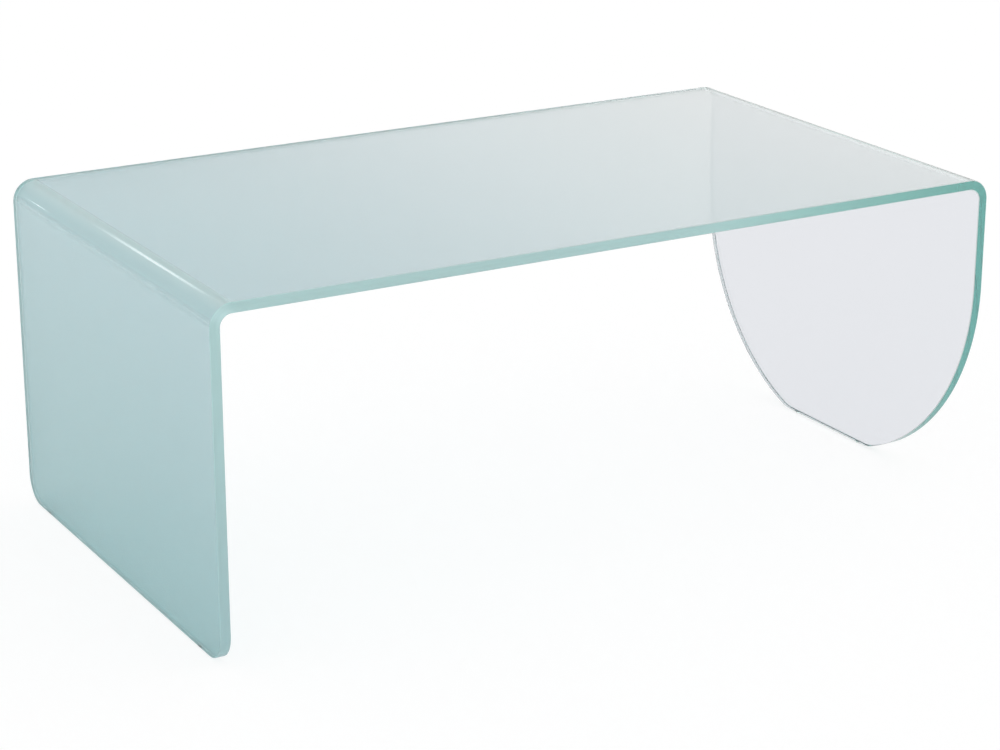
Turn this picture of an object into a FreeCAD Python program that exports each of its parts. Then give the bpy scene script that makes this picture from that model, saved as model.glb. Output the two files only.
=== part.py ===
import FreeCAD, Part
import math
import os

import Sketcher

# Waterfall coffee table: one hot-bent glass sheet, a gradient frost film and four floor glides.
# Millimetres. +X runs from the frosted leg to the clear leg, +Y from front to back, +Z up.
# The origin is on the floor, under the middle of the table.

# Driving dimensions: alias, value, meaning
DRIVING_DIMENSIONS = (
    ("table_length", 1000, "over the outer faces of the two legs"),
    ("table_width", 560, "front edge to back edge"),
    ("table_height", 400, "floor to the upper face of the top"),
    ("glass_thickness", 12, "bent sheet"),
    ("bend_inner_radius", 14, "inner face of both bends"),
    ("left_corner_radius", 32, "lower corners of the frosted leg"),
    ("right_foot_width", 175, "flat foot at the bottom of the round leg"),
    ("foot_corner_radius", 50, "eased corners between the flat foot and the round leg"),
    ("edge_arris", 0.8, "polished chamfer along every rim of the sheet"),
    ("film_thickness", 0.3, "frost film"),
    ("film_edge_margin", 1.5, "bare glass between the film and the rim"),
    ("film_end_margin", 4, "bare glass between the film and the right bend"),
    ("glide_height", 2, "floor glide under the glass edge"),
    ("glide_margin", 1.2, "bare edge between a glide and the arris"),
    ("glide_rim_radius", 0.6, "rounded lower rim of a glide"),
    ("left_glide_inset", 28, "glide centre from the rounded corner"),
    ("right_glide_inset", 22, "glide centre from the end of the flat foot"),
    ("cut_overrun", 10, "how far a cutting outline runs past the glass"),
)

# Lengths worked out from the driving dimensions
HALF_LENGTH = "sizes.table_length / 2"
HALF_WIDTH = "sizes.table_width / 2"
HALF_FOOT = "sizes.right_foot_width / 2"
BEND_OUTER_RADIUS = "sizes.bend_inner_radius + sizes.glass_thickness"
INNER_HALF_LENGTH = "sizes.table_length / 2 - sizes.glass_thickness"
UNDERSIDE_HEIGHT = "sizes.table_height - sizes.glass_thickness"
FILM_BOTTOM = "sizes.glide_height + sizes.film_edge_margin"
FILM_END = f"{INNER_HALF_LENGTH} - sizes.bend_inner_radius - sizes.film_end_margin"
FILM_WIDTH = "sizes.table_width - 2 * sizes.film_edge_margin"
FILM_CORNER_RADIUS = "sizes.left_corner_radius - sizes.film_edge_margin"
FILM_BEND_RADIUS = "sizes.bend_inner_radius - sizes.film_thickness"
GLIDE_RADIUS = "sizes.glass_thickness / 2 - sizes.edge_arris - sizes.glide_margin"
LEG_MIDDLE = "sizes.table_length / 2 - sizes.glass_thickness / 2"
LEFT_GLIDE_PLACE = f"{HALF_WIDTH} - sizes.left_corner_radius - sizes.left_glide_inset"
RIGHT_GLIDE_PLACE = f"{HALF_FOOT} - sizes.right_glide_inset"

# Points of a sketch: an edge's two ends and its centre, which count from one, and the origin
START, END, CENTRE = range(1, 4)
ORIGIN = (-1, START)

document = FreeCAD.newDocument("waterfall_coffee_table")


def make_sizes():
    """Spreadsheet of the driving dimensions."""
    sheet = document.addObject("Spreadsheet::Sheet", "sizes")
    for row, (alias, value, meaning) in enumerate(DRIVING_DIMENSIONS, start=1):
        sheet.set(f"A{row}", alias)
        sheet.set(f"B{row}", str(value))
        sheet.set(f"C{row}", meaning)
        sheet.setAlias(f"B{row}", alias)
    document.recompute()


def value_of(expression):
    """Present value of an expression on the sizes."""
    return float(document.sizes.evalExpression(expression))


def same(first, second):
    """True where two lengths agree."""
    return math.isclose(first, second, abs_tol=Part.Precision.approximation())


def make_body(label):
    """Body of one sub-part."""
    body = document.addObject("PartDesign::Body", label)
    body.Label = label
    return body


def origin_plane(body, role):
    """One of the body's own origin planes."""
    return next(item for item in body.Origin.OriginFeatures if item.Role == role)


def make_sketch(body, name, role):
    """Empty sketch on an origin plane of its body."""
    sketch = body.newObject("Sketcher::SketchObject", name)
    sketch.AttachmentSupport = (origin_plane(body, role), [""])
    sketch.MapMode = "FlatFace"
    return sketch


def add_dimension(sketch, kind, references, name, expression):
    """Sketch dimension bound to an expression on the sizes."""
    index = sketch.addConstraint(Sketcher.Constraint(kind, *references, value_of(expression)))
    sketch.renameConstraint(index, name)
    sketch.setExpression(f"Constraints.{name}", expression)


def add_outline(sketch, corners):
    """Closed outline of upright and level lines, the first upright. Its corners are expressions."""
    points = [FreeCAD.Vector(*map(value_of, corner)) for corner in corners]
    count = len(points)
    for index, point in enumerate(points):
        sketch.addGeometry(Part.LineSegment(point, points[(index + 1) % count]))
        direction = "Horizontal" if index % 2 else "Vertical"
        sketch.addConstraint(Sketcher.Constraint(direction, index))
    for index in range(count):
        sketch.addConstraint(Sketcher.Constraint("Coincident", index, END, (index + 1) % count, START))


def add_pad(body, sketch, name, length, side):
    """Pad of a sketch, one-sided or symmetric."""
    pad = body.newObject("PartDesign::Pad", name)
    pad.Profile = sketch
    pad.SideType = side
    pad.setExpression("Length", length)
    document.recompute()
    return pad


def edge_names(shape, wanted):
    """Names of the edges that pass a test."""
    return [f"Edge{number}" for number, edge in enumerate(shape.Edges, start=1) if wanted(edge)]


def add_fillet(body, name, wanted, radius):
    """Fillet on the edges of the body's tip that pass a test."""
    base = body.Tip
    fillet = body.newObject("PartDesign::Fillet", name)
    fillet.Base = (base, edge_names(base.Shape, wanted))
    fillet.setExpression("Radius", radius)
    document.recompute()
    return fillet


def along_y(place_x, place_z):
    """Test for an edge along Y at a place given by expressions."""
    x = value_of(place_x)
    z = value_of(place_z)

    def wanted(edge):
        box = edge.BoundBox
        crosswise = same(box.XMin, box.XMax) and same(box.ZMin, box.ZMax)
        return crosswise and same(abs(box.XMin), x) and same(box.ZMin, z)

    return wanted


def left_lower_corner(bottom, width):
    """Test for the two lower corner edges of the frosted leg, which cross the sheet's thickness."""
    y = value_of(width) / 2
    z = value_of(bottom)

    def wanted(edge):
        box = edge.BoundBox
        lengthwise = same(box.YMin, box.YMax) and same(box.ZMin, box.ZMax)
        return lengthwise and box.XMax < 0 and same(abs(box.YMin), y) and same(box.ZMin, z)

    return wanted


def right_foot_corner(edge):
    """Test for the two edges where the flat foot meets the round leg."""
    box = edge.BoundBox
    lengthwise = same(box.YMin, box.YMax) and same(box.ZMin, box.ZMax)
    at_foot = same(abs(box.YMin), value_of(HALF_FOOT)) and same(box.ZMin, value_of("sizes.glide_height"))
    return lengthwise and box.XMin > 0 and at_foot


def is_broad(face, bottom):
    """True for the sheet's two skins: upright, level or bent about Y, but not the bottom of a leg."""
    if isinstance(face.Surface, Part.Cylinder):
        return same(abs(face.Surface.Axis.y), 1)
    across = same(abs(face.normalAt(0, 0).y), 1)
    return not across and not same(face.BoundBox.ZMax, bottom)


def on_rim(shape):
    """Test for the edges round the sheet's two skins, which take the arris."""
    bottom = value_of("sizes.glide_height")

    def wanted(edge):
        neighbours = shape.ancestorsOfType(edge, Part.Face)
        return sum(is_broad(face, bottom) for face in neighbours) == 1

    return wanted


def draw_waterfall_profile(sketch):
    """Sharp-cornered section of the sheet: leg, top, leg. Both bends are rounded afterwards."""
    outer_left = f"-({HALF_LENGTH})"
    inner_left = f"-({INNER_HALF_LENGTH})"
    add_outline(sketch, (
        (outer_left, "sizes.glide_height"),
        (outer_left, "sizes.table_height"),
        (HALF_LENGTH, "sizes.table_height"),
        (HALF_LENGTH, "sizes.glide_height"),
        (INNER_HALF_LENGTH, "sizes.glide_height"),
        (INNER_HALF_LENGTH, UNDERSIDE_HEIGHT),
        (inner_left, UNDERSIDE_HEIGHT),
        (inner_left, "sizes.glide_height"),
    ))
    left_leg, top, right_leg, right_foot, _, underside, _, left_foot = range(8)
    add_dimension(sketch, "DistanceX", (left_leg, START, *ORIGIN), "left_reach", HALF_LENGTH)
    add_dimension(sketch, "DistanceX", (*ORIGIN, right_leg, END), "right_reach", HALF_LENGTH)
    add_dimension(sketch, "DistanceY", (*ORIGIN, left_leg, START), "left_bottom", "sizes.glide_height")
    add_dimension(sketch, "DistanceY", (*ORIGIN, right_leg, END), "right_bottom", "sizes.glide_height")
    add_dimension(sketch, "DistanceY", (*ORIGIN, top, START), "top_height", "sizes.table_height")
    for name, foot in (("left_wall", left_foot), ("right_wall", right_foot)):
        add_dimension(sketch, "DistanceX", (foot, END, foot, START), name, "sizes.glass_thickness")
    add_dimension(sketch, "DistanceY", (underside, START, top, END), "top_wall", "sizes.glass_thickness")


def draw_round_leg_cut(sketch):
    """Waste outside the round leg's rear quarter, whose arc runs from the side down to the flat foot."""
    radius = value_of(HALF_WIDTH)
    foot = value_of(HALF_FOOT)
    bottom = value_of("sizes.glide_height")
    overrun = value_of("sizes.cut_overrun")
    centre_height = bottom + math.sqrt(radius**2 - foot**2)
    side = FreeCAD.Vector(radius, centre_height)
    foot_end = FreeCAD.Vector(foot, bottom)
    below_foot = FreeCAD.Vector(foot, bottom - overrun)
    outer_low = FreeCAD.Vector(radius + overrun, bottom - overrun)
    outer_high = FreeCAD.Vector(radius + overrun, centre_height)
    circle = Part.Circle(FreeCAD.Vector(0, centre_height), FreeCAD.Vector(0, 0, 1), radius)
    arc = sketch.addGeometry(Part.ArcOfCircle(circle, -math.acos(foot / radius), 0))
    drop = sketch.addGeometry(Part.LineSegment(foot_end, below_foot))
    floor_line = sketch.addGeometry(Part.LineSegment(below_foot, outer_low))
    rise = sketch.addGeometry(Part.LineSegment(outer_low, outer_high))
    lid = sketch.addGeometry(Part.LineSegment(outer_high, side))
    sketch.addConstraint([
        Sketcher.Constraint("Coincident", arc, START, drop, START),
        Sketcher.Constraint("Coincident", drop, END, floor_line, START),
        Sketcher.Constraint("Coincident", floor_line, END, rise, START),
        Sketcher.Constraint("Coincident", rise, END, lid, START),
        Sketcher.Constraint("Coincident", lid, END, arc, END),
        Sketcher.Constraint("Vertical", drop),
        Sketcher.Constraint("Horizontal", floor_line),
        Sketcher.Constraint("Vertical", rise),
        Sketcher.Constraint("Horizontal", lid),
        Sketcher.Constraint("Vertical", *ORIGIN, arc, CENTRE),
        Sketcher.Constraint("Horizontal", arc, CENTRE, arc, END),
    ])
    add_dimension(sketch, "Radius", (arc,), "leg_radius", HALF_WIDTH)
    add_dimension(sketch, "DistanceX", (*ORIGIN, arc, START), "foot_reach", HALF_FOOT)
    add_dimension(sketch, "DistanceY", (*ORIGIN, arc, START), "foot_height", "sizes.glide_height")
    add_dimension(sketch, "DistanceY", (drop, END, drop, START), "overrun_down", "sizes.cut_overrun")
    add_dimension(sketch, "DistanceX", (lid, END, lid, START), "overrun_out", "sizes.cut_overrun")


def make_bent_glass():
    """One sheet bent twice: a leg with rounded corners, the top, and a leg with a round lower half."""
    body = make_body("bent_glass_sheet")
    profile = make_sketch(body, "waterfall_profile", "XZ_Plane")
    draw_waterfall_profile(profile)
    add_pad(body, profile, "sheet_pad", "sizes.table_width", "Symmetric")
    outer_corners = along_y(HALF_LENGTH, "sizes.table_height")
    add_fillet(body, "outer_bends", outer_corners, BEND_OUTER_RADIUS)
    inner_corners = along_y(INNER_HALF_LENGTH, UNDERSIDE_HEIGHT)
    add_fillet(body, "inner_bends", inner_corners, "sizes.bend_inner_radius")
    lower_corners = left_lower_corner("sizes.glide_height", "sizes.table_width")
    rounded = add_fillet(body, "left_corners", lower_corners, "sizes.left_corner_radius")

    waste = make_sketch(body, "round_leg_waste", "YZ_Plane")
    draw_round_leg_cut(waste)
    cut = body.newObject("PartDesign::Pocket", "round_leg_cut")
    cut.Profile = waste
    cut.Type = "ThroughAll"
    cut.Reversed = True
    mirrored = body.newObject("PartDesign::Mirrored", "round_leg_cut_front")
    mirrored.Originals = [cut]
    mirrored.MirrorPlane = (origin_plane(body, "XZ_Plane"), [""])
    body.Tip = mirrored
    document.recompute()
    rear_waste = rounded.Shape.Volume - cut.Shape.Volume
    front_waste = cut.Shape.Volume - mirrored.Shape.Volume
    alike = math.isclose(rear_waste, front_waste, rel_tol=Part.Precision.approximation())
    if rear_waste <= 0 or not alike:
        raise RuntimeError("the round leg was not cut alike at the front and the back")

    eased = add_fillet(body, "foot_corners", right_foot_corner, "sizes.foot_corner_radius")
    arris = body.newObject("PartDesign::Chamfer", "polished_arris")
    arris.Base = (eased, edge_names(eased.Shape, on_rim(eased.Shape)))
    arris.setExpression("Size", "sizes.edge_arris")
    return body


def make_frost_film():
    """Film on the inner face of the left leg, round the bend and under the top."""
    body = make_body("gradient_frost_film")
    profile = make_sketch(body, "film_profile", "XZ_Plane")
    skin = f"-({INNER_HALF_LENGTH})"
    inside = f"-({INNER_HALF_LENGTH} - sizes.film_thickness)"
    film_underside = f"{UNDERSIDE_HEIGHT} - sizes.film_thickness"
    add_outline(profile, (
        (skin, FILM_BOTTOM),
        (skin, UNDERSIDE_HEIGHT),
        (FILM_END, UNDERSIDE_HEIGHT),
        (FILM_END, film_underside),
        (inside, film_underside),
        (inside, FILM_BOTTOM),
    ))
    leg_skin, top_skin, end, _, _, foot = range(6)
    add_dimension(profile, "DistanceX", (leg_skin, START, *ORIGIN), "leg_reach", INNER_HALF_LENGTH)
    add_dimension(profile, "DistanceY", (*ORIGIN, leg_skin, START), "film_bottom", FILM_BOTTOM)
    add_dimension(profile, "DistanceY", (*ORIGIN, top_skin, START), "top_skin_height", UNDERSIDE_HEIGHT)
    add_dimension(profile, "DistanceX", (*ORIGIN, top_skin, END), "film_reach", FILM_END)
    add_dimension(profile, "DistanceY", (end, END, end, START), "top_film", "sizes.film_thickness")
    add_dimension(profile, "DistanceX", (foot, END, foot, START), "leg_film", "sizes.film_thickness")
    add_pad(body, profile, "film_pad", FILM_WIDTH, "Symmetric")
    outer_corner = along_y(INNER_HALF_LENGTH, UNDERSIDE_HEIGHT)
    add_fillet(body, "film_outer_bend", outer_corner, "sizes.bend_inner_radius")
    inner_corner = along_y(f"{INNER_HALF_LENGTH} - sizes.film_thickness", film_underside)
    add_fillet(body, "film_inner_bend", inner_corner, FILM_BEND_RADIUS)
    add_fillet(body, "film_corners", left_lower_corner(FILM_BOTTOM, FILM_WIDTH), FILM_CORNER_RADIUS)
    return body


def make_glide(label, place_x, place_y):
    """Clear disc under the glass edge, with its lower rim rounded."""
    body = make_body(label)
    outline = make_sketch(body, f"{label}_outline", "XY_Plane")
    circle = Part.Circle(FreeCAD.Vector(0, 0), FreeCAD.Vector(0, 0, 1), value_of(GLIDE_RADIUS))
    disc = outline.addGeometry(circle)
    outline.addConstraint(Sketcher.Constraint("Coincident", disc, CENTRE, *ORIGIN))
    add_dimension(outline, "Radius", (disc,), "disc_radius", GLIDE_RADIUS)
    add_pad(body, outline, f"{label}_pad", "sizes.glide_height", "One side")

    def lower_rim(edge):
        return same(edge.BoundBox.ZMax, 0)

    add_fillet(body, f"{label}_rim", lower_rim, "sizes.glide_rim_radius")
    body.setExpression("Placement.Base.x", place_x)
    body.setExpression("Placement.Base.y", place_y)
    return body


def make_glides():
    """Two glides under each leg."""
    legs = (("left", f"-({LEG_MIDDLE})", LEFT_GLIDE_PLACE), ("right", LEG_MIDDLE, RIGHT_GLIDE_PLACE))
    glides = []
    for leg, place_x, reach_y in legs:
        for side, place_y in (("front", f"-({reach_y})"), ("rear", reach_y)):
            glides.append(make_glide(f"{leg}_{side}_glide", place_x, place_y))
    return glides


def check_document():
    """Stop on any object that failed to compute."""
    failed = [item.Label for item in document.Objects if {"Invalid", "Error"} & set(item.State)]
    if failed:
        raise RuntimeError(f"not computed: {failed}")


def write_parts(bodies):
    """One file for each sub-part, after every shape has been tested."""
    for body in bodies:
        shape = body.Shape
        if shape.isNull() or not shape.isValid() or len(shape.Solids) != 1:
            raise RuntimeError(f"{body.Label} is not one valid solid")
    os.makedirs("parts", exist_ok=True)
    for body in bodies:
        body.Shape.exportStep(os.path.join("parts", f"{body.Label}.step"))


make_sizes()
sub_parts = [make_bent_glass(), make_frost_film(), *make_glides()]
document.recompute()
check_document()
write_parts(sub_parts)
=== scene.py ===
import math

import bpy
from mathutils import Euler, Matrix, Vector


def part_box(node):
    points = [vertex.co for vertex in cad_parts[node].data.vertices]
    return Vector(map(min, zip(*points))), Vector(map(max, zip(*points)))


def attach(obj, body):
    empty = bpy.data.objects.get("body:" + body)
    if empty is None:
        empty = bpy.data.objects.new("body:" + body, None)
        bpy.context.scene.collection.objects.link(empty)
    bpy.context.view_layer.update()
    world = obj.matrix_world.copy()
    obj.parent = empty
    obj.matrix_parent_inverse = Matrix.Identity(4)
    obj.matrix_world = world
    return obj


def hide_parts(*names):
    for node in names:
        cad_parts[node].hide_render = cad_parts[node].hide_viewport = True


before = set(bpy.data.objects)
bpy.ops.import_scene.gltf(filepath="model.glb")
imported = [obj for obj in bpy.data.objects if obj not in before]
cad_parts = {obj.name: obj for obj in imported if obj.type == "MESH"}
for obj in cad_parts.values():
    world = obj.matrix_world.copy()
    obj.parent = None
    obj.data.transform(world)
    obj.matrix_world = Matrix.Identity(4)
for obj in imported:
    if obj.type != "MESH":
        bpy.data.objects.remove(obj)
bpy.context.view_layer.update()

bl_info = {
    "name": "Waterfall Coffee Table",
    "version": (1, 0, 0),
    "blender": (4, 5, 0),
    "location": "View3D > Sidebar > Waterfall Table",
    "description": "Dresses the packed coffee table in bent glass, gradient frost and clear glides",
    "category": "Add Mesh",
}

GLASS_LOW, GLASS_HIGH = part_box("bent_glass_sheet")
FILM_LOW, FILM_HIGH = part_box("gradient_frost_film")
GLIDE_NODES = sorted(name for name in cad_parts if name.endswith("glide"))

FLAT_ATTRIBUTE = "flat_place"
INNER_ATTRIBUTE = "on_inner_face"
RIM_ATTRIBUTE = "on_rim"
ARRIS_ATTRIBUTE = "on_arris"
QUARTER_TURN = math.pi / 2
SHARP_ANGLE = math.radians(30)
WHITE = (1, 1, 1, 1)

# Fine patterns: waves per metre in each direction, and octaves.
STREAK_SCALE, STREAK_DETAIL = (7, 7, 260), 3
RIPPLE_SCALE, RIPPLE_DETAIL = (45, 7, 45), 2
GRAIN_SCALE, GRAIN_DETAIL = (2500, 2500, 2500), 2
CLOUD_SCALE, CLOUD_DETAIL = (300, 300, 300), 3
SKIN_SCALE, SKIN_DETAIL = (3000, 3000, 3000), 2
RIPPLE_HEIGHT = 0.00003
SKIN_HEIGHT = 0.00004

# Glass: its refraction, and how the rim's painted glow, the etch and the painted streaks run along
# the sheet.
GLASS_IOR = 1.5
RIM_CLEARS_FROM = 0.62
ETCH_FADE_POWER = 1.5
STREAK_POWER = 3.0

# Shares of a bend's length over which its finish comes and goes.
LEFT_BEND_RISE = 0.25
RIGHT_BEND_FALL = 0.5
BEND_EDGE_NEAR = 0.1
BEND_EDGE_FAR = 0.2

# Film and glides: least value and spread of what the fine patterns vary.
SPECKLE_LEAST, SPECKLE_SPREAD = 0.99, 0.02
GLIDE_ROUGH_LEAST, GLIDE_ROUGH_SPREAD = 0.25, 0.3
GLIDE_CLEARNESS = 0.7

# Floor: its half side, and the glow that makes it white together with its matte share.
FLOOR_HALF = 12
FLOOR_GLOW = 1.09
FLOOR_GLOW_MIRRORED = 0.5

# Rays that met fewer matte surfaces than this count as sight lines.
SIGHT_LINE_DEPTH = 0.5

# Light bounces that glass behind glass needs.
BOUNCES = {
    "max_bounces": 64,
    "diffuse_bounces": 12,
    "glossy_bounces": 48,
    "transmission_bounces": 32,
    "transparent_max_bounces": 128,
}

# Light strips for the left bend's highlights. A lift above 1 moves the brightest place up.
STRIPS = {
    "bend_strip": {
        "place": (-0.353, 1.936, 1.446), "target": (-0.483, -0.144, 0.496),
        "size": (0.34, 0.264), "power": 0.75, "lift": 1.2,
    },
    "side_strip": {
        "place": (-1.35, 2.2, 0.72), "target": (-0.496, 0.2, 0.387),
        "size": (0.045, 0.12), "power": 0.08, "lift": 3.0,
    },
}


class GlassSizes(bpy.types.PropertyGroup):
    """Sizes of the bent sheet that its box does not give."""

    thickness: bpy.props.FloatProperty(
        name="Thickness", description="Thickness of the glass",
        default=FILM_LOW.x - GLASS_LOW.x, unit="LENGTH", precision=4)
    inner_bend_radius: bpy.props.FloatProperty(
        name="Bend radius", description="Radius of each bend on its inner side",
        default=0.014, unit="LENGTH", precision=4)
    corner_radius: bpy.props.FloatProperty(
        name="Left corner radius", description="Radius of the left leg's two lower corners",
        default=0.032, unit="LENGTH", precision=4)
    foot_width: bpy.props.FloatProperty(
        name="Right foot width", description="Width of the flat foot under the round right leg",
        default=0.175, unit="LENGTH", precision=4)
    foot_corner_radius: bpy.props.FloatProperty(
        name="Foot corner radius", description="Radius that eases the flat foot into the round leg",
        default=0.05, unit="LENGTH", precision=4)
    arris: bpy.props.FloatProperty(
        name="Arris", description="Width of the small bevel along every polished edge",
        default=0.0008, unit="LENGTH", precision=5)
    arc_steps: bpy.props.IntProperty(
        name="Arc steps", description="Straight steps in each quarter turn", default=32, min=4)


class FilmSizes(bpy.types.PropertyGroup):
    """How the frost film sits against the glass."""

    thickness: bpy.props.FloatProperty(
        name="Thickness", description="Thickness of the frost film",
        default=0.0003, unit="LENGTH", precision=5)
    clearance: bpy.props.FloatProperty(
        name="Clearance", description="Gap between the film and the glass",
        default=0.00002, unit="LENGTH", precision=6)


class Finish(bpy.types.PropertyGroup):
    """Colours and finishes of the glass, the frost and the glides, and the light and shade painted
    on the glass.
    """

    # Partly painted shade: a slight real tint of the glass, darkened further so the clear right leg
    # keeps the grey that reflections of the room give it.
    glass_tint_and_shade: bpy.props.FloatVectorProperty(
        name="Glass tint",
        description="Colour of light that crosses the inner face at the right leg",
        default=(0.688, 0.682, 0.741), subtype="COLOR", min=0, max=1)
    glass_body: bpy.props.FloatVectorProperty(
        name="Glass body", description="Colour that long paths inside the glass tend to",
        default=(0.10, 0.60, 0.56), subtype="COLOR", min=0, max=1)
    glass_density: bpy.props.FloatProperty(
        name="Glass density", description="Absorption per metre inside the glass", default=3.0)
    etch: bpy.props.FloatProperty(
        name="Etch", description="Roughness of the inner face and the rim at the left leg",
        default=0.24, min=0, max=1)
    bend_etch: bpy.props.FloatProperty(
        name="Bend etch", description="Roughness of the inner face at the right bend",
        default=0.24, min=0, max=1)
    bend_frost: bpy.props.FloatProperty(
        name="Bend frost", description="Milky share of the inner face at the left bend",
        default=0.8, min=0, max=1)
    # Partly painted shade: the milky frost colour at the left bend, darkened to paint the shaded
    # band along the bend.
    bend_milk_and_shade: bpy.props.FloatVectorProperty(
        name="Bend milk",
        description="Colour of the milky inner face where the left bend leaves the leg",
        default=(0.66, 0.83, 0.86), subtype="COLOR", min=0, max=1)
    crest_milk: bpy.props.FloatVectorProperty(
        name="Crest milk",
        description="Colour of the milky inner face where the left bend meets the top",
        default=(0.86, 0.99, 1.0), subtype="COLOR", min=0, max=1)
    # Painted highlight: a white milky share on the polished fine bevels of the clear rim stands for
    # the light they reflect.
    arris_highlight_tint: bpy.props.FloatVectorProperty(
        name="Arris tint", description="Colour of the fine ground bevels along the clear rim",
        default=(1.0, 1.0, 1.0), subtype="COLOR", min=0, max=1)
    arris_highlight_share: bpy.props.FloatProperty(
        name="Arris frost", description="Milky share of the fine ground bevels along the clear rim",
        default=0.8, min=0, max=1)
    # Painted light: the rim is polished clear glass. The milky shares and tints below paint the
    # glow of light that reaches its edges, darker at the left foot.
    rim_glow_share: bpy.props.FloatProperty(
        name="Rim frost",
        description="Milky share of the rim at the left leg and along most of the top",
        default=0.66, min=0, max=1)
    rim_far_glow_share: bpy.props.FloatProperty(
        name="Rim far frost", description="Milky share of the rim from the right bend on",
        default=0.27, min=0, max=1)
    rim_glow_tint: bpy.props.FloatVectorProperty(
        name="Rim tint", description="Colour of the milky rim above the left leg",
        default=(0.745, 1.0, 1.0), subtype="COLOR", min=0, max=1)
    rim_far_glow_tint: bpy.props.FloatVectorProperty(
        name="Rim far tint", description="Colour of the rim before the right bend",
        default=(0.53, 0.92, 0.85), subtype="COLOR", min=0, max=1)
    rim_leg_glow_tint: bpy.props.FloatVectorProperty(
        name="Rim leg tint", description="Colour of the rim round the right leg",
        default=(0.44, 0.86, 0.82), subtype="COLOR", min=0, max=1)
    rim_foot_glow_tint: bpy.props.FloatVectorProperty(
        name="Rim foot tint", description="Colour of the milky rim at the left foot",
        default=(0.62, 0.84, 0.88), subtype="COLOR", min=0, max=1)
    # Painted shade: darker streaks along the rim that stand for internal reflections in the
    # polished edge.
    reflection_streak_tint: bpy.props.FloatVectorProperty(
        name="Streak tint", description="Colour of the fine polishing streaks along the rim",
        default=(0.55, 0.80, 0.80), subtype="COLOR", min=0, max=1)
    # Partly painted shade: the frost's own deep colour at the left foot, darkened further for the
    # shade near the floor.
    foot_tint_and_shade: bpy.props.FloatVectorProperty(
        name="Foot tint",
        description="Colour of light that crosses the etched face at the left foot",
        default=(0.279, 0.5, 0.527), subtype="COLOR", min=0, max=1)
    bend_tint: bpy.props.FloatVectorProperty(
        name="Bend tint",
        description="Colour of light that crosses the etched face at the left bend",
        default=(0.641, 0.732, 0.782), subtype="COLOR", min=0, max=1)
    top_tint: bpy.props.FloatVectorProperty(
        name="Top tint",
        description="Colour of light that crosses the etched face past the left bend",
        default=(0.77, 0.862, 0.937), subtype="COLOR", min=0, max=1)
    far_tint: bpy.props.FloatVectorProperty(
        name="Far tint",
        description="Colour of light that crosses the inner face before the right bend",
        default=(1.0, 1.0, 1.0), subtype="COLOR", min=0, max=1)
    frost_cover: bpy.props.FloatProperty(
        name="Frost cover", description="Share of each skin of the film that the frost covers",
        default=0.5, min=0, max=1)
    frost_glow: bpy.props.FloatProperty(
        name="Frost glow", description="Share of the frost that lets light through",
        default=0.2, min=0, max=1)
    frost_deep: bpy.props.FloatVectorProperty(
        name="Deep frost", description="Frost colour at the left foot",
        default=(0.62, 0.90, 0.92), subtype="COLOR", min=0, max=1)
    frost_pale: bpy.props.FloatVectorProperty(
        name="Pale frost", description="Frost colour towards the right bend",
        default=(0.97, 0.98, 0.99), subtype="COLOR", min=0, max=1)
    glide_tint: bpy.props.FloatVectorProperty(
        name="Glide tint", description="Colour of the clear soft glides",
        default=(0.86, 0.88, 0.86), subtype="COLOR", min=0, max=1)
    glide_cloud: bpy.props.FloatVectorProperty(
        name="Glide cloud", description="Colour of the cloudy patches in the clear glides",
        default=(0.78, 0.81, 0.78), subtype="COLOR", min=0, max=1)


class StageSettings(bpy.types.PropertyGroup):
    """Camera and light of the studio."""

    camera_place: bpy.props.FloatVectorProperty(
        name="Camera place", description="Where the camera stands",
        default=(-1.5419, -2.6733, 1.2219), subtype="XYZ", unit="LENGTH")
    camera_azimuth: bpy.props.FloatProperty(
        name="Camera azimuth", description="Turn of the camera about the vertical",
        default=math.radians(-29.953), subtype="ANGLE")
    camera_elevation: bpy.props.FloatProperty(
        name="Camera elevation", description="How far the camera looks down",
        default=math.radians(19.039), subtype="ANGLE")
    lens: bpy.props.FloatProperty(
        name="Lens", description="Focal length in millimetres", default=97.71)
    world_level: bpy.props.FloatProperty(
        name="World level", description="Brightness of the soft light from all round", default=0.8)
    mirror_level: bpy.props.FloatProperty(
        name="Mirror level", description="Brightness of the room that reflections see",
        default=0.776)
    floor_colour: bpy.props.FloatVectorProperty(
        name="Floor", description="Colour of the pale floor",
        default=(0.92, 0.92, 0.92), subtype="COLOR", min=0, max=1)
    floor_white: bpy.props.FloatProperty(
        name="Floor white", description="Share of plain white in the floor as the camera sees it",
        default=0.75, min=0, max=1)


def add_node(tree, kind, **settings):
    """New node with its settings."""
    node = tree.nodes.new(kind)
    for name, value in settings.items():
        setattr(node, name, value)
    return node


def feed(tree, socket, value):
    """Links another node's output to a socket, or sets its plain value."""
    if isinstance(value, bpy.types.NodeSocket):
        tree.links.new(value, socket)
    else:
        socket.default_value = value


def calc(tree, operation, *values):
    """Result of one step of arithmetic."""
    node = add_node(tree, "ShaderNodeMath", operation=operation)
    for socket, value in zip(node.inputs, values):
        feed(tree, socket, value)
    return node.outputs[0]


def clamp(tree, value, low, high):
    return calc(tree, "MINIMUM", calc(tree, "MAXIMUM", value, low), high)


class SheetRuns:
    """Lengths of the flat blank, from the left foot over the top to the right foot."""

    def __init__(self, sizes):
        outer_radius = sizes.inner_bend_radius + sizes.thickness
        self.middle_radius = sizes.inner_bend_radius + sizes.thickness / 2
        self.leg = GLASS_HIGH.z - GLASS_LOW.z - outer_radius
        self.top = GLASS_HIGH.x - GLASS_LOW.x - 2 * outer_radius
        self.bend = self.middle_radius * QUARTER_TURN
        self.top_start = self.leg + self.bend
        self.top_end = self.top_start + self.top
        self.total = self.top_end + self.bend + self.leg
        self.half_width = GLASS_HIGH.y
        self.left_middle = GLASS_LOW.x + sizes.thickness / 2
        self.foot = GLASS_LOW.z


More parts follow.
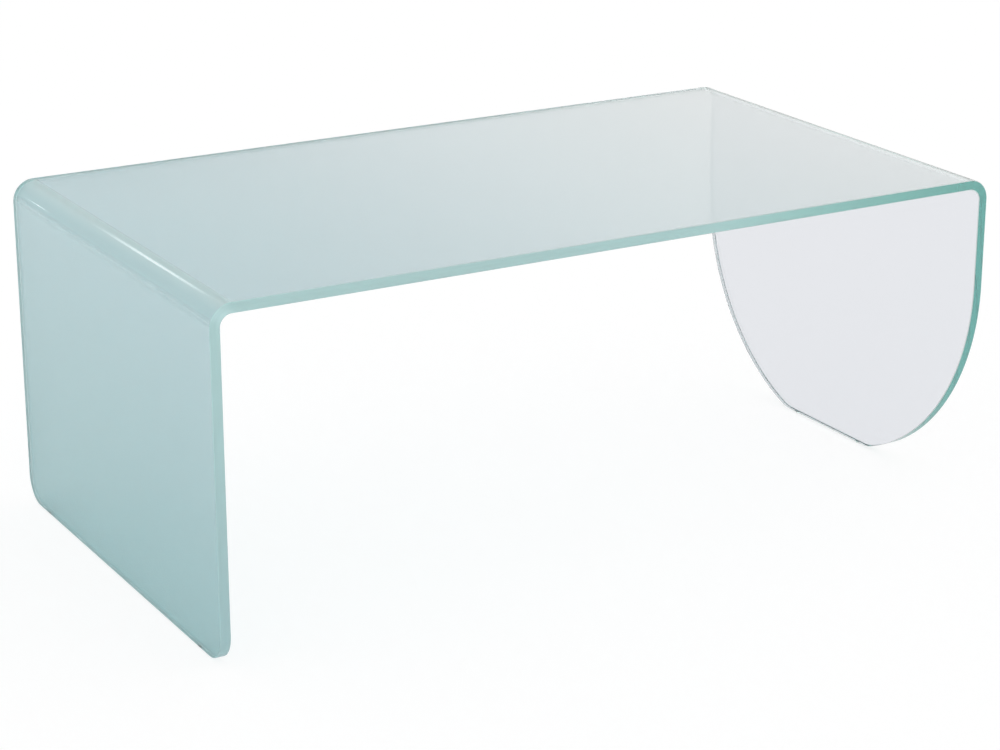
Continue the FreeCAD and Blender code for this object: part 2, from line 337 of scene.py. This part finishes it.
def bend_tree(material):
    """Geometry nodes that bend a flat blank into leg, top and leg."""
    tree = bpy.data.node_groups.new("Waterfall bend", "GeometryNodeTree")
    tree.interface.new_socket("Blank", in_out="INPUT", socket_type="NodeSocketGeometry")
    for name in ("Leg run", "Top run", "Bend radius", "Start X", "Start Z"):
        tree.interface.new_socket(name, in_out="INPUT", socket_type="NodeSocketFloat")
    tree.interface.new_socket("Sheet", in_out="OUTPUT", socket_type="NodeSocketGeometry")
    source = tree.nodes.new("NodeGroupInput")
    leg, top, radius, start_x, start_z = source.outputs[1:6]

    place = tree.nodes.new("GeometryNodeInputPosition").outputs[0]
    keep = add_node(tree, "GeometryNodeStoreNamedAttribute",
                    data_type="FLOAT_VECTOR", domain="POINT")
    tree.links.new(source.outputs[0], keep.inputs["Geometry"])
    feed(tree, keep.inputs["Name"], FLAT_ATTRIBUTE)
    feed(tree, keep.inputs["Value"], place)

    split = tree.nodes.new("ShaderNodeSeparateXYZ")
    tree.links.new(place, split.inputs[0])
    run, across, depth = split.outputs

    bend = calc(tree, "MULTIPLY", radius, QUARTER_TURN)
    past_leg = calc(tree, "SUBTRACT", run, leg)
    past_bend = calc(tree, "SUBTRACT", past_leg, bend)
    past_top = calc(tree, "SUBTRACT", past_bend, top)
    past_second = calc(tree, "SUBTRACT", past_top, bend)
    first = clamp(tree, calc(tree, "DIVIDE", past_leg, radius), 0.0, QUARTER_TURN)
    second = clamp(tree, calc(tree, "DIVIDE", past_top, radius), 0.0, QUARTER_TURN)
    heading = calc(tree, "ADD", first, second)

    up_leg = calc(tree, "MINIMUM", run, leg)
    rise = calc(tree, "MULTIPLY_ADD", radius, calc(tree, "SINE", first), up_leg)
    first_turn = calc(tree, "SUBTRACT", 1.0, calc(tree, "COSINE", first))
    turn_in = calc(tree, "MULTIPLY", radius, first_turn)
    along = calc(tree, "ADD", turn_in, clamp(tree, past_bend, 0.0, top))
    forward = calc(tree, "MULTIPLY_ADD", radius, calc(tree, "SINE", second), along)
    second_turn = calc(tree, "SUBTRACT", 1.0, calc(tree, "COSINE", second))
    turn_down = calc(tree, "MULTIPLY", radius, second_turn)
    drop = calc(tree, "ADD", turn_down, calc(tree, "MAXIMUM", past_second, 0.0))

    middle_x = calc(tree, "ADD", start_x, forward)
    middle_z = calc(tree, "ADD", start_z, calc(tree, "SUBTRACT", rise, drop))
    out_x = calc(tree, "MULTIPLY", depth, calc(tree, "COSINE", heading))
    out_z = calc(tree, "MULTIPLY", depth, calc(tree, "SINE", heading))
    bent = tree.nodes.new("ShaderNodeCombineXYZ")
    feed(tree, bent.inputs[0], calc(tree, "SUBTRACT", middle_x, out_x))
    feed(tree, bent.inputs[1], across)
    feed(tree, bent.inputs[2], calc(tree, "ADD", middle_z, out_z))

    move = tree.nodes.new("GeometryNodeSetPosition")
    tree.links.new(keep.outputs[0], move.inputs["Geometry"])
    feed(tree, move.inputs["Position"], bent.outputs[0])
    real = tree.nodes.new("GeometryNodeRealizeInstances")
    tree.links.new(move.outputs[0], real.inputs[0])
    paint = tree.nodes.new("GeometryNodeSetMaterial")
    paint.inputs["Material"].default_value = material
    tree.links.new(real.outputs[0], paint.inputs["Geometry"])
    tree.links.new(paint.outputs[0], tree.nodes.new("NodeGroupOutput").inputs[0])
    return tree


def arc(centre, radius, start, end, steps):
    """Points of an arc on the flat blank, as (run, across)."""
    points = []
    for step in range(steps + 1):
        angle = start + (end - start) * step / steps
        run = centre[0] + radius * math.cos(angle)
        across = centre[1] + radius * math.sin(angle)
        points.append(Vector((run, across)))
    return points


def bend_stations(start, end, steps):
    """Places along the flat blank that divide a bend evenly."""
    return [start + (end - start) * step / steps for step in range(steps + 1)]


def glass_rail(sizes, runs):
    """Back edge of the flat glass, from the left foot to the right foot."""
    half = runs.half_width
    corner = sizes.corner_radius
    foot = sizes.foot_width / 2
    round_centre = runs.total - math.sqrt(half ** 2 - foot ** 2)
    rail = arc((corner, half - corner), corner, math.pi, QUARTER_TURN, sizes.arc_steps)
    straight = bend_stations(runs.leg, runs.top_start, sizes.arc_steps)
    straight += bend_stations(runs.top_end, runs.top_end + runs.bend, sizes.arc_steps)
    rail += [Vector((run, half)) for run in straight]
    eased = sizes.foot_corner_radius
    eased_run = runs.total - eased
    eased_across = math.sqrt((half - eased) ** 2 - (eased_run - round_centre) ** 2)
    meeting = math.atan2(eased_across, eased_run - round_centre)
    rail += arc((round_centre, 0), half, QUARTER_TURN, meeting, 2 * sizes.arc_steps)
    rail += arc((eased_run, eased_across), eased, meeting, 0, sizes.arc_steps // 2)[1:]
    return rail


def film_rail(sizes, runs):
    """Back edge of the flat film, inside the edge of the glass."""
    half = FILM_HIGH.y
    start = FILM_LOW.z - GLASS_LOW.z
    outer_radius = sizes.inner_bend_radius + sizes.thickness
    end = runs.top_start + FILM_HIGH.x - GLASS_LOW.x - outer_radius
    corner = sizes.corner_radius - (runs.half_width - half)
    rail = arc((start + corner, half - corner), corner, math.pi, QUARTER_TURN, sizes.arc_steps)
    straight = bend_stations(runs.leg, runs.top_start, sizes.arc_steps)
    rail += [Vector((run, half)) for run in straight + [end]]
    return rail


def inset_rail(rail, inset):
    """The rail moved inwards by the inset, with square ends."""
    before = [Vector((rail[0].x, 0))] + rail[:-1]
    after = rail[1:] + [Vector((rail[-1].x, 0))]
    moved = []
    for last, here, following in zip(before, rail, after):
        normals = []
        for start, end in ((last, here), (here, following)):
            step = (end - start).normalized()
            normals.append(Vector((-step.y, step.x)))
        middle = (normals[0] + normals[1]).normalized()
        moved.append(here - middle * (inset / middle.dot(normals[0])))
    return moved


def blank_mesh(name, rail, layers):
    """Closed flat sheet between two skins.

    Layers are (inset, depth), from the outer skin to the inner.
    """
    vertices = []
    for inset, depth in layers:
        back = inset_rail(rail, inset)
        loop = back + [Vector((point.x, -point.y)) for point in reversed(back)]
        vertices += [(point.x, point.y, depth) for point in loop]
    count = 2 * len(rail)
    last = len(layers) - 1
    faces = []
    on_inner = []
    for station in range(len(rail) - 1):
        near, far = count - 1 - station, count - 2 - station
        faces.append((station, near, far, station + 1))
        base = last * count
        faces.append((base + station, base + station + 1, base + far, base + near))
        on_inner += [0, 1]
    skin_count = len(faces)
    on_arris = [0] * skin_count
    for layer in range(last):
        upper, lower = layer * count, (layer + 1) * count
        for index in range(count):
            following = (index + 1) % count
            faces.append((upper + index, upper + following, lower + following, lower + index))
        sloped = layers[layer][0] != layers[layer + 1][0]
        on_arris += [int(sloped)] * count
    rim_count = len(faces) - skin_count
    mesh = bpy.data.meshes.new(name)
    mesh.from_pydata(vertices, [], faces)
    on_inner += [0] * rim_count
    on_rim = [0] * skin_count + [1] * rim_count
    marks = {INNER_ATTRIBUTE: on_inner, RIM_ATTRIBUTE: on_rim, ARRIS_ATTRIBUTE: on_arris}
    for attribute, chosen in marks.items():
        mesh.attributes.new(attribute, "FLOAT", "FACE").data.foreach_set("value", chosen)
    return mesh


def bend_piece(name, mesh, runs, material):
    """Bends a flat blank by the node tree and keeps the result as a plain mesh."""
    piece = bpy.data.objects.new(name, mesh)
    bpy.context.scene.collection.objects.link(piece)
    tree = bend_tree(material)
    modifier = piece.modifiers.new("Waterfall bend", "NODES")
    modifier.node_group = tree
    wanted = {"Leg run": runs.leg, "Top run": runs.top, "Bend radius": runs.middle_radius,
              "Start X": runs.left_middle, "Start Z": runs.foot}
    for socket in tree.interface.items_tree:
        if socket.name in wanted:
            modifier[socket.identifier] = wanted[socket.name]
    scene_graph = bpy.context.evaluated_depsgraph_get()
    bent = bpy.data.meshes.new_from_object(
        piece.evaluated_get(scene_graph), preserve_all_data_layers=True, depsgraph=scene_graph)
    piece.modifiers.clear()
    piece.data = bent
    bent.shade_smooth()
    bent.set_sharp_from_angle(angle=SHARP_ANGLE)
    return piece


def new_material(name):
    """Empty material, its node tree and its output node."""
    material = bpy.data.materials.new(name)
    material.use_nodes = True
    material.node_tree.nodes.clear()
    output = material.node_tree.nodes.new("ShaderNodeOutputMaterial")
    return material, material.node_tree, output


def flat_place(tree):
    """Place on the flat sheet, as run, across and depth."""
    flat = add_node(tree, "ShaderNodeAttribute", attribute_name=FLAT_ATTRIBUTE)
    return flat.outputs["Vector"]


def share_along(tree, start, end):
    """0 to 1 between two places along the flat sheet."""
    split = tree.nodes.new("ShaderNodeSeparateXYZ")
    tree.links.new(flat_place(tree), split.inputs[0])
    share = tree.nodes.new("ShaderNodeMapRange")
    tree.links.new(split.outputs[0], share.inputs["Value"])
    share.inputs["From Min"].default_value = start
    share.inputs["From Max"].default_value = end
    return share.outputs[0]


def fade_ramp(tree, finish, runs):
    """Colour of the inner face, from the left foot over both bends to the clear right leg."""
    along = share_along(tree, 0, runs.total)
    ramp = tree.nodes.new("ShaderNodeValToRGB")
    stops = ramp.color_ramp.elements
    # Darker towards the left foot: partly the frost's deep colour, partly painted shade near the
    # floor.
    stops[0].color = (*finish.foot_tint_and_shade, 1)
    # Painted shade: the clear right leg's colour is darkened to its grey look.
    stops[1].color = (*finish.glass_tint_and_shade, 1)
    stops[1].position = (runs.top_end + runs.bend / 2) / runs.total
    for run, tint in ((runs.leg, finish.bend_tint), (runs.top_start, finish.top_tint),
                      (runs.top_end, finish.far_tint)):
        stops.new(run / runs.total).color = (*tint, 1)
    tree.links.new(along, ramp.inputs[0])
    return ramp.outputs[0]


def pulse(tree, rise_start, rise_end, fall_start, fall_end):
    """1 along a stretch of the flat sheet, and 0 before and after it."""
    rising = share_along(tree, rise_start, rise_end)
    falling = share_along(tree, fall_start, fall_end)
    return calc(tree, "SUBTRACT", rising, falling)


def left_bend_pulse(tree, runs):
    """1 from the left bend to just past the start of the top."""
    return pulse(tree, runs.leg, runs.leg + LEFT_BEND_RISE * runs.bend,
                 runs.top_start + BEND_EDGE_NEAR * runs.bend,
                 runs.top_start + BEND_EDGE_FAR * runs.bend)


def right_bend_pulse(tree, runs):
    """1 from just before the end of the top over most of the right bend."""
    return pulse(tree, runs.top_end - BEND_EDGE_FAR * runs.bend,
                 runs.top_end - BEND_EDGE_NEAR * runs.bend,
                 runs.top_end + RIGHT_BEND_FALL * runs.bend, runs.top_end + runs.bend)


def mix_colour(tree, share, first, second):
    """Blend of two colours."""
    mix = add_node(tree, "ShaderNodeMix", data_type="RGBA")
    sockets = {socket.identifier: socket for socket in (*mix.inputs, *mix.outputs)}
    feed(tree, sockets["Factor_Float"], share)
    feed(tree, sockets["A_Color"], first)
    feed(tree, sockets["B_Color"], second)
    return sockets["Result_Color"]


def stretched_noise(tree, place, scale, detail):
    """Noise stretched along the directions whose scale is small."""
    stretch = tree.nodes.new("ShaderNodeMapping")
    stretch.inputs["Scale"].default_value = scale
    tree.links.new(place, stretch.inputs["Vector"])
    noise = tree.nodes.new("ShaderNodeTexNoise")
    noise.inputs["Scale"].default_value = 1
    noise.inputs["Detail"].default_value = detail
    tree.links.new(stretch.outputs[0], noise.inputs["Vector"])
    return noise.outputs["Fac"]


def bump(tree, height, distance):
    """Shading normal for a height between 0 and 1 that stands for a distance."""
    node = tree.nodes.new("ShaderNodeBump")
    node.inputs["Strength"].default_value = 1
    node.inputs["Distance"].default_value = distance
    tree.links.new(height, node.inputs["Height"])
    return node.outputs[0]


def glass_material(finish, runs):
    """Clear glass with its body colour as absorption, etched inside at the left."""
    material, tree, output = new_material("tinted_glass")
    inner, rim, arris = [
        add_node(tree, "ShaderNodeAttribute", attribute_name=name).outputs["Fac"]
        for name in (INNER_ATTRIBUTE, RIM_ATTRIBUTE, ARRIS_ATTRIBUTE)]
    place = flat_place(tree)
    share = share_along(tree, runs.top_start, runs.top_end)
    left = calc(tree, "SUBTRACT", 1.0, share)
    on_bend = calc(tree, "MULTIPLY", left_bend_pulse(tree, runs), inner)
    on_right_bend = calc(tree, "MULTIPLY", right_bend_pulse(tree, runs), inner)
    # Painted highlight mask: the fine bevels along the clear part of the sheet.
    highlit_arris = calc(tree, "MULTIPLY", arris, share)
    far = share_along(tree, runs.top_start + RIM_CLEARS_FROM * runs.top, runs.top_end)
    past_top = share_along(tree, runs.top_end, runs.top_end + runs.bend)

    shader = tree.nodes.new("ShaderNodeBsdfPrincipled")
    shader.inputs["IOR"].default_value = GLASS_IOR
    tint = mix_colour(tree, inner, WHITE, fade_ramp(tree, finish, runs))
    # Painted shade on the left bend: its milky inner face is darker low on the bend for the bend's
    # shaded band, and turns lighter towards the top.
    over_bend = share_along(tree, runs.leg + runs.bend / 2, runs.top_start)
    milk = mix_colour(tree, over_bend, (*finish.bend_milk_and_shade, 1), (*finish.crest_milk, 1))
    tint = mix_colour(tree, on_bend, tint, milk)
    # Painted light on the rim: tints for the glow of light at the polished edges, darker towards
    # the left foot.
    up_leg = share_along(tree, 0, runs.leg)
    rim_glow_tint = mix_colour(tree, up_leg, (*finish.rim_foot_glow_tint, 1), (*finish.rim_glow_tint, 1))
    rim_glow_tint = mix_colour(tree, far, rim_glow_tint, (*finish.rim_far_glow_tint, 1))
    rim_glow_tint = mix_colour(tree, past_top, rim_glow_tint, (*finish.rim_leg_glow_tint, 1))
    tint = mix_colour(tree, rim, tint, rim_glow_tint)
    # Painted shade: dark streaks along the rim for the internal reflections in the polished edge.
    streaks = stretched_noise(tree, place, STREAK_SCALE, STREAK_DETAIL)
    streaked = calc(tree, "MULTIPLY", calc(tree, "POWER", streaks, STREAK_POWER), rim)
    tint = mix_colour(tree, streaked, tint, (*finish.reflection_streak_tint, 1))
    # Painted highlight: the clear bevels turn white.
    tint = mix_colour(tree, highlit_arris, tint, (*finish.arris_highlight_tint, 1))
    tree.links.new(tint, shader.inputs["Base Color"])

    etch = calc(tree, "MULTIPLY", calc(tree, "POWER", left, ETCH_FADE_POWER), finish.etch)
    etch = calc(tree, "MULTIPLY", etch, calc(tree, "ADD", inner, rim))
    roughness = calc(tree, "MULTIPLY_ADD", on_right_bend, finish.bend_etch, etch)
    tree.links.new(roughness, shader.inputs["Roughness"])

    # Milky share: on the rim it paints the glow of light at the edges, on the clear bevels it is a
    # painted highlight, and at the left bend it stands for frost pressed on the glass.
    glow_change = finish.rim_far_glow_share - finish.rim_glow_share
    rim_glow_share = calc(tree, "MULTIPLY_ADD", far, glow_change, finish.rim_glow_share)
    milky = calc(tree, "MULTIPLY", rim, rim_glow_share)
    milky = calc(tree, "MAXIMUM", milky, calc(tree, "MULTIPLY", highlit_arris, finish.arris_highlight_share))
    milky = calc(tree, "MAXIMUM", milky, calc(tree, "MULTIPLY", on_bend, finish.bend_frost))
    tree.links.new(calc(tree, "SUBTRACT", 1.0, milky), shader.inputs["Transmission Weight"])

    ripple = stretched_noise(tree, place, RIPPLE_SCALE, RIPPLE_DETAIL)
    bends = calc(tree, "ADD", left_bend_pulse(tree, runs), right_bend_pulse(tree, runs))
    ripple = calc(tree, "MULTIPLY", ripple, bends)
    tree.links.new(bump(tree, ripple, RIPPLE_HEIGHT), shader.inputs["Normal"])

    body = tree.nodes.new("ShaderNodeVolumeAbsorption")
    body.inputs["Color"].default_value = (*finish.glass_body, 1)
    body.inputs["Density"].default_value = finish.glass_density
    tree.links.new(shader.outputs[0], output.inputs["Surface"])
    tree.links.new(body.outputs[0], output.inputs["Volume"])
    return material


def frost_material(finish, runs):
    """Even frost that turns from deep at the left foot to pale towards the right bend."""
    material, tree, output = new_material("gradient_frost")
    colour = tree.nodes.new("ShaderNodeValToRGB")
    colour.color_ramp.elements[0].color = (*finish.frost_deep, 1)
    colour.color_ramp.elements[1].color = (*finish.frost_pale, 1)
    tree.links.new(share_along(tree, 0, runs.top_end), colour.inputs[0])
    grain = stretched_noise(tree, flat_place(tree), GRAIN_SCALE, GRAIN_DETAIL)
    speckle = calc(tree, "MULTIPLY_ADD", grain, SPECKLE_SPREAD, SPECKLE_LEAST)
    matte = tree.nodes.new("ShaderNodeBsdfDiffuse")
    glow = tree.nodes.new("ShaderNodeBsdfTranslucent")
    tree.links.new(colour.outputs[0], matte.inputs["Color"])
    tree.links.new(colour.outputs[0], glow.inputs["Color"])
    frost = tree.nodes.new("ShaderNodeMixShader")
    frost.inputs[0].default_value = finish.frost_glow
    tree.links.new(matte.outputs[0], frost.inputs[1])
    tree.links.new(glow.outputs[0], frost.inputs[2])
    clear = tree.nodes.new("ShaderNodeBsdfTransparent")
    mixed = tree.nodes.new("ShaderNodeMixShader")
    tree.links.new(calc(tree, "MULTIPLY", speckle, finish.frost_cover), mixed.inputs[0])
    tree.links.new(clear.outputs[0], mixed.inputs[1])
    tree.links.new(frost.outputs[0], mixed.inputs[2])
    tree.links.new(mixed.outputs[0], output.inputs["Surface"])
    return material


def glide_material(finish):
    """Clear soft plastic of the glides, a little cloudy and with a fine moulded skin."""
    material, tree, output = new_material("clear_soft_plastic")
    shader = tree.nodes.new("ShaderNodeBsdfPrincipled")
    shader.inputs["Transmission Weight"].default_value = GLIDE_CLEARNESS
    place = tree.nodes.new("ShaderNodeTexCoord").outputs["Object"]
    cloud = stretched_noise(tree, place, CLOUD_SCALE, CLOUD_DETAIL)
    colour = mix_colour(tree, cloud, (*finish.glide_tint, 1), (*finish.glide_cloud, 1))
    tree.links.new(colour, shader.inputs["Base Color"])
    skin = stretched_noise(tree, place, SKIN_SCALE, SKIN_DETAIL)
    roughness = calc(tree, "MULTIPLY_ADD", skin, GLIDE_ROUGH_SPREAD, GLIDE_ROUGH_LEAST)
    tree.links.new(roughness, shader.inputs["Roughness"])
    tree.links.new(bump(tree, skin, SKIN_HEIGHT), shader.inputs["Normal"])
    tree.links.new(shader.outputs[0], output.inputs["Surface"])
    return material


class MakeBentGlass(bpy.types.Operator):
    """Makes the bent glass sheet with its polished rim"""

    bl_idname = "waterfall_table.make_bent_glass"
    bl_label = "Make bent glass"

    def execute(self, context):
        sizes = context.scene.table_glass
        finish = context.scene.table_finish
        runs = SheetRuns(sizes)
        half = sizes.thickness / 2
        rim_half = half - sizes.arris
        layers = [(sizes.arris, half), (0, rim_half), (0, -rim_half), (sizes.arris, -half)]
        mesh = blank_mesh("bent_glass", glass_rail(sizes, runs), layers)
        piece = bend_piece("bent_glass", mesh, runs, glass_material(finish, runs))
        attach(piece, "root")
        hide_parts("bent_glass_sheet")
        return {"FINISHED"}


class MakeFrostFilm(bpy.types.Operator):
    """Makes the gradient frost film under the glass"""

    bl_idname = "waterfall_table.make_frost_film"
    bl_label = "Make frost film"

    def execute(self, context):
        sizes = context.scene.table_glass
        film = context.scene.table_film
        finish = context.scene.table_finish
        runs = SheetRuns(sizes)
        face = -sizes.thickness / 2
        layers = [(0, face - film.clearance), (0, face - film.thickness)]
        mesh = blank_mesh("frost_film", film_rail(sizes, runs), layers)
        piece = bend_piece("frost_film", mesh, runs, frost_material(finish, runs))
        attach(piece, "root")
        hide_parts("gradient_frost_film")
        return {"FINISHED"}


class FinishGlides(bpy.types.Operator):
    """Gives the four floor glides their clear soft plastic"""

    bl_idname = "waterfall_table.finish_glides"
    bl_label = "Finish glides"

    def execute(self, context):
        plastic = glide_material(context.scene.table_finish)
        for name in GLIDE_NODES:
            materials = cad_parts[name].data.materials
            materials.clear()
            materials.append(plastic)
        return {"FINISHED"}


def seen_rays(tree):
    """1 for rays that show the floor straight or through glass, and less for reflections."""
    rays = tree.nodes.new("ShaderNodeLightPath").outputs
    through = calc(tree, "MAXIMUM", rays["Is Camera Ray"], rays["Is Transmission Ray"])
    mirrored = calc(tree, "MULTIPLY", rays["Is Glossy Ray"], FLOOR_GLOW_MIRRORED)
    return calc(tree, "MAXIMUM", through, mirrored)


class MakeStage(bpy.types.Operator):
    """Makes the floor, the light and the camera"""

    bl_idname = "waterfall_table.make_stage"
    bl_label = "Make stage"

    def execute(self, context):
        settings = context.scene.table_stage
        self.make_floor(settings)
        self.make_world(context.scene, settings)
        for name, strip in STRIPS.items():
            self.make_strip(name, **strip)
        self.make_camera(context.scene, settings)
        context.scene.view_settings.view_transform = "Standard"
        # Blurred gloss would darken what shows through the etched glass.
        context.scene.cycles.blur_glossy = 0
        for name, count in BOUNCES.items():
            setattr(context.scene.cycles, name, count)
        return {"FINISHED"}

    def make_floor(self, settings):
        mesh = bpy.data.meshes.new("studio_floor")
        corners = [(-FLOOR_HALF, -FLOOR_HALF, 0), (FLOOR_HALF, -FLOOR_HALF, 0),
                   (FLOOR_HALF, FLOOR_HALF, 0), (-FLOOR_HALF, FLOOR_HALF, 0)]
        mesh.from_pydata(corners, [], [(0, 1, 2, 3)])
        floor = bpy.data.objects.new("studio_floor", mesh)
        bpy.context.scene.collection.objects.link(floor)
        material, tree, output = new_material("studio_floor")
        matte = tree.nodes.new("ShaderNodeBsdfDiffuse")
        matte.inputs["Color"].default_value = (*settings.floor_colour, 1)
        white = tree.nodes.new("ShaderNodeEmission")
        white.inputs["Strength"].default_value = FLOOR_GLOW
        both = tree.nodes.new("ShaderNodeMixShader")
        share = calc(tree, "MULTIPLY", seen_rays(tree), settings.floor_white)
        tree.links.new(share, both.inputs[0])
        tree.links.new(matte.outputs[0], both.inputs[1])
        tree.links.new(white.outputs[0], both.inputs[2])
        tree.links.new(both.outputs[0], output.inputs["Surface"])
        mesh.materials.append(material)

    def make_world(self, scene, settings):
        world = bpy.data.worlds.new("studio_world")
        world.use_nodes = True
        tree = world.node_tree
        tree.nodes.clear()
        output = tree.nodes.new("ShaderNodeOutputWorld")
        background = tree.nodes.new("ShaderNodeBackground")
        background.inputs["Color"].default_value = WHITE
        rays = tree.nodes.new("ShaderNodeLightPath").outputs
        # Only sight lines see plain white; what a matte surface gathers keeps the world's level.
        sight_line = calc(tree, "LESS_THAN", rays["Diffuse Depth"], SIGHT_LINE_DEPTH)
        through = calc(tree, "MULTIPLY", rays["Is Transmission Ray"], sight_line)
        seen = calc(tree, "MAXIMUM", rays["Is Camera Ray"], through)
        mirror_change = settings.mirror_level - settings.world_level
        level = calc(tree, "MULTIPLY_ADD", rays["Is Glossy Ray"], mirror_change,
                     settings.world_level)
        tree.links.new(calc(tree, "MAXIMUM", level, seen), background.inputs["Strength"])
        tree.links.new(background.outputs[0], output.inputs[0])
        scene.world = world

    def soften(self, strip, lift):
        """Light that falls off towards all sides of a strip."""
        strip.use_nodes = True
        tree = strip.node_tree
        glow = next(node for node in tree.nodes if node.type == "EMISSION")
        place = tree.nodes.new("ShaderNodeNewGeometry").outputs["Parametric"]
        split = tree.nodes.new("ShaderNodeSeparateXYZ")
        tree.links.new(place, split.inputs[0])
        across = calc(tree, "SINE", calc(tree, "MULTIPLY", split.outputs[0], math.pi))
        raised = calc(tree, "POWER", split.outputs[1], lift)
        upwards = calc(tree, "SINE", calc(tree, "MULTIPLY", raised, math.pi))
        tree.links.new(calc(tree, "MULTIPLY", across, upwards), glow.inputs["Strength"])

    def make_strip(self, name, place, target, size, power, lift):
        strip = bpy.data.lights.new(name, "AREA")
        strip.shape = "RECTANGLE"
        strip.size, strip.size_y = size
        strip.energy = power
        self.soften(strip, lift)
        lamp = bpy.data.objects.new(name, strip)
        lamp.location = place
        aim = Vector(target) - Vector(place)
        lamp.rotation_euler = aim.to_track_quat("-Z", "Y").to_euler()
        lamp.visible_camera = False
        lamp.visible_transmission = False
        bpy.context.scene.collection.objects.link(lamp)

    def make_camera(self, scene, settings):
        data = bpy.data.cameras.new("camera")
        data.lens = settings.lens
        camera = bpy.data.objects.new("camera", data)
        camera.location = settings.camera_place
        tilt = QUARTER_TURN - settings.camera_elevation
        camera.rotation_euler = Euler((tilt, 0, settings.camera_azimuth))
        scene.collection.objects.link(camera)
        scene.camera = camera


class WaterfallTablePanel(bpy.types.Panel):
    """Lists the steps that dress the table"""

    bl_idname = "VIEW3D_PT_waterfall_table"
    bl_label = "Waterfall Table"
    bl_space_type = "VIEW_3D"
    bl_region_type = "UI"
    bl_category = "Waterfall Table"

    def draw(self, context):
        for step in STEPS:
            self.layout.operator(step.bl_idname)
        for name in SETTINGS:
            group = getattr(context.scene, name)
            box = self.layout.box()
            for prop in group.bl_rna.properties:
                if not prop.is_readonly and prop.identifier != "name":
                    box.prop(group, prop.identifier)


STEPS = (MakeBentGlass, MakeFrostFilm, FinishGlides, MakeStage)
SETTINGS = {
    "table_glass": GlassSizes,
    "table_film": FilmSizes,
    "table_finish": Finish,
    "table_stage": StageSettings,
}


def register():
    for group in SETTINGS.values():
        bpy.utils.register_class(group)
    for name, group in SETTINGS.items():
        setattr(bpy.types.Scene, name, bpy.props.PointerProperty(type=group))
    for step in STEPS:
        bpy.utils.register_class(step)
    bpy.utils.register_class(WaterfallTablePanel)


def unregister():
    bpy.utils.unregister_class(WaterfallTablePanel)
    for step in reversed(STEPS):
        bpy.utils.unregister_class(step)
    for name in SETTINGS:
        delattr(bpy.types.Scene, name)
    for group in SETTINGS.values():
        bpy.utils.unregister_class(group)


def main():
    register()
    bpy.ops.waterfall_table.make_bent_glass()
    bpy.ops.waterfall_table.make_frost_film()
    bpy.ops.waterfall_table.finish_glides()
    bpy.ops.waterfall_table.make_stage()


if __name__ == "__main__":
    main()
